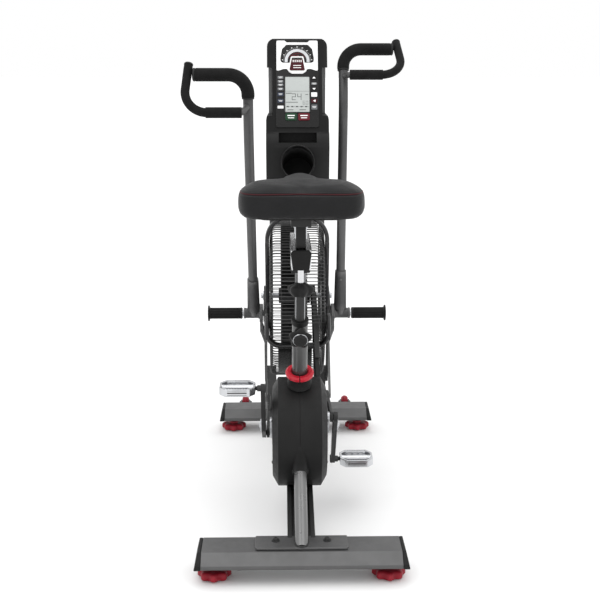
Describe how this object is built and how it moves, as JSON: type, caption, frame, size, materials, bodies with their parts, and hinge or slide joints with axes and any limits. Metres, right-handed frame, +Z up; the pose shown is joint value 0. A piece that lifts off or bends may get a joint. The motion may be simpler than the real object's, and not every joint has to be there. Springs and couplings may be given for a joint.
{
  "type": "air bike",
  "caption": "Air bike: upright stationary bike with a caged fan wheel, swinging handlebars, foot pegs, adjustable saddle and console on two stabilisers.",
  "frame": {"origin": "on the floor, midway between the two ends and the two sides", "axes": "+Z up, +Y the way the rider faces, +X the rider's right"},
  "size_m": [0.6542, 1.339, 1.4002],
  "materials": {
    "gunmetal_paint": "satin metallic powder coat",
    "black_paint": "satin powder coat",
    "black_plastic": "fine moulded grain",
    "rubber_black": "ribbed",
    "grip_foam": "closed-cell foam, matt",
    "red_plastic": "glossy moulding",
    "polished_aluminium": "polished",
    "chrome": "mirror plated",
    "fan_steel": "black",
    "seat_vinyl": "grained vinyl with red piping",
    "face_white": "printed panel",
    "display_grey": "liquid crystal window",
    "key_green": "soft key",
    "key_red": "soft key"
  },
  "bodies": {
    "frame": {"rear_stabiliser": "gunmetal_paint", "rear_cap_left": "black_plastic", "rear_cap_right": "black_plastic", "front_stabiliser": "gunmetal_paint", "front_cap_left": "black_plastic", "front_cap_right": "black_plastic", "rear_tube": "gunmetal_paint", "frame_spine": "gunmetal_paint", "hoop_frame": "gunmetal_paint", "front_leg_left": "black_paint", "front_leg_right": "black_paint", "shroud_left": "black_plastic", "shroud_right": "black_plastic", "seat_collar": "red_plastic", "drive_belt": "rubber_black", "belt_guard": "gunmetal_paint", "fan_guard_left": "fan_steel", "fan_guard_right": "fan_steel", "fan_deflector": "black_plastic", "peg_axle_left": "polished_aluminium", "peg_axle_right": "polished_aluminium", "foot_peg_left": "rubber_black", "foot_peg_right": "rubber_black", "console_mast": "gunmetal_paint", "console_shell": "black_plastic", "console_face": "face_white", "display_lens": "display_grey"},
    "crank": {"crank_axle": "polished_aluminium", "crank_arm_left": "black_paint", "crank_arm_right": "black_paint", "drive_pulley": "fan_steel"},
    "pedal_left_body": {"pedal_left": "polished_aluminium"},
    "pedal_right_body": {"pedal_right": "polished_aluminium"},
    "rod_left": {"connecting_rod_left": "black_paint"},
    "rod_right": {"connecting_rod_right": "black_paint"},
    "fan": {"fan_wheel": "fan_steel", "fan_axle": "polished_aluminium", "fan_pulley": "fan_steel"},
    "arm_left_body": {"arm_left": "gunmetal_paint", "handlebar_left": "gunmetal_paint", "top_grip_left": "grip_foam", "lower_grip_left": "grip_foam"},
    "arm_right_body": {"arm_right": "gunmetal_paint", "handlebar_right": "gunmetal_paint", "top_grip_right": "grip_foam", "lower_grip_right": "grip_foam"},
    "seat_column": {"seat_post": "chrome", "slider_rail": "chrome"},
    "seat": {"seat_carriage": "black_paint", "seat_cushion": "seat_vinyl"},
    "slide_knob_body": {"slide_knob": "black_plastic"},
    "height_knob_body": {"height_knob": "black_plastic"},
    "wheel_left": {"transport_wheel_left": "red_plastic"},
    "wheel_right": {"transport_wheel_right": "red_plastic"},
    "start_key_body": {"start_key": "key_green"},
    "stop_key_body": {"stop_key": "key_red"},
    "foot_rear_left": {"leveler_rear_left": "red_plastic"},
    "foot_rear_right": {"leveler_rear_right": "red_plastic"},
    "foot_front_left": {"leveler_front_left": "red_plastic"},
    "foot_front_right": {"leveler_front_right": "red_plastic"}
  },
  "joints": [
    {"name": "crank_turn", "type": "hinge", "parent": "frame", "child": "crank", "pos_m": [0, -0.2495, 0.29], "axis": [1, 0, 0], "continuous": true},
    {"name": "pedal_left_turn", "type": "hinge", "parent": "crank", "child": "pedal_left_body", "pos_m": [-0.175, -0.34209, 0.43257], "axis": [1, 0, 0], "continuous": true},
    {"name": "pedal_right_turn", "type": "hinge", "parent": "crank", "child": "pedal_right_body", "pos_m": [0.175, -0.15691, 0.14743], "axis": [1, 0, 0], "continuous": true},
    {"name": "rod_left_turn", "type": "hinge", "parent": "crank", "child": "rod_left", "pos_m": [-0.092, -0.19942, 0.24857], "axis": [1, 0, 0], "continuous": true},
    {"name": "rod_right_turn", "type": "hinge", "parent": "crank", "child": "rod_right", "pos_m": [0.092, -0.29958, 0.33143], "axis": [1, 0, 0], "continuous": true},
    {"name": "fan_turn", "type": "hinge", "parent": "frame", "child": "fan", "pos_m": [0, 0.2885, 0.56], "axis": [1, 0, 0], "continuous": true},
    {"name": "arm_left_swing", "type": "hinge", "parent": "frame", "child": "arm_left_body", "pos_m": [-0.1435, 0.1805, 0.525], "axis": [1, 0, 0], "range_deg": [-25.5, 3.5]},
    {"name": "arm_right_swing", "type": "hinge", "parent": "frame", "child": "arm_right_body", "pos_m": [0.1435, 0.1805, 0.525], "axis": [1, 0, 0], "range_deg": [-3.5, 25.5]},
    {"name": "seat_height", "type": "slide", "parent": "frame", "child": "seat_column", "axis": [0, -0.3469, 0.9379], "range_m": [-0.09, 0.07]},
    {"name": "seat_fore_aft", "type": "slide", "parent": "seat_column", "child": "seat", "axis": [0, 1, 0], "range_m": [-0.02, 0.12]},
    {"name": "slide_knob_turn", "type": "hinge", "parent": "seat_column", "child": "slide_knob_body", "pos_m": [0, -0.4815, 0.746], "axis": [0, 0, 1], "range_deg": [-180, 180]},
    {"name": "height_knob_pull", "type": "slide", "parent": "frame", "child": "height_knob_body", "axis": [0, -0.9379, -0.3469], "range_m": [0, 0.01], "stiffness_N_per_m": 200, "springref_m": -0.006},
    {"name": "wheel_left_turn", "type": "hinge", "parent": "frame", "child": "wheel_left", "pos_m": [-0.19, 0.6435, 0.06], "axis": [1, 0, 0], "continuous": true},
    {"name": "wheel_right_turn", "type": "hinge", "parent": "frame", "child": "wheel_right", "pos_m": [0.19, 0.6435, 0.06], "axis": [1, 0, 0], "continuous": true},
    {"name": "start_key_press", "type": "slide", "parent": "frame", "child": "start_key_body", "axis": [0, 0.9219, -0.3875], "range_m": [0, 0.0012], "stiffness_N_per_m": 400, "springref_m": -0.001},
    {"name": "stop_key_press", "type": "slide", "parent": "frame", "child": "stop_key_body", "axis": [0, 0.9219, -0.3875], "range_m": [0, 0.0012], "stiffness_N_per_m": 400, "springref_m": -0.001},
    {"name": "leveler_rear_left_turn", "type": "hinge", "parent": "frame", "child": "foot_rear_left", "pos_m": [-0.23, -0.6095, 0.02], "axis": [0, 0, 1], "range_deg": [-180, 180]},
    {"name": "leveler_rear_right_turn", "type": "hinge", "parent": "frame", "child": "foot_rear_right", "pos_m": [0.23, -0.6095, 0.02], "axis": [0, 0, 1], "range_deg": [-180, 180]},
    {"name": "leveler_front_left_turn", "type": "hinge", "parent": "frame", "child": "foot_front_left", "pos_m": [-0.23, 0.5255, 0.02], "axis": [0, 0, 1], "range_deg": [-180, 180]},
    {"name": "leveler_front_right_turn", "type": "hinge", "parent": "frame", "child": "foot_front_right", "pos_m": [0.23, 0.5255, 0.02], "axis": [0, 0, 1], "range_deg": [-180, 180]}
  ],
  "couplings": [
    {"joint": "rod_left_turn", "follows": "crank_turn", "ratio": -1},
    {"joint": "rod_right_turn", "follows": "crank_turn", "ratio": -1},
    {"joint": "fan_turn", "follows": "crank_turn", "ratio": 3.1667},
    {"joint": "arm_right_swing", "follows": "arm_left_swing", "ratio": -1}
  ]
}
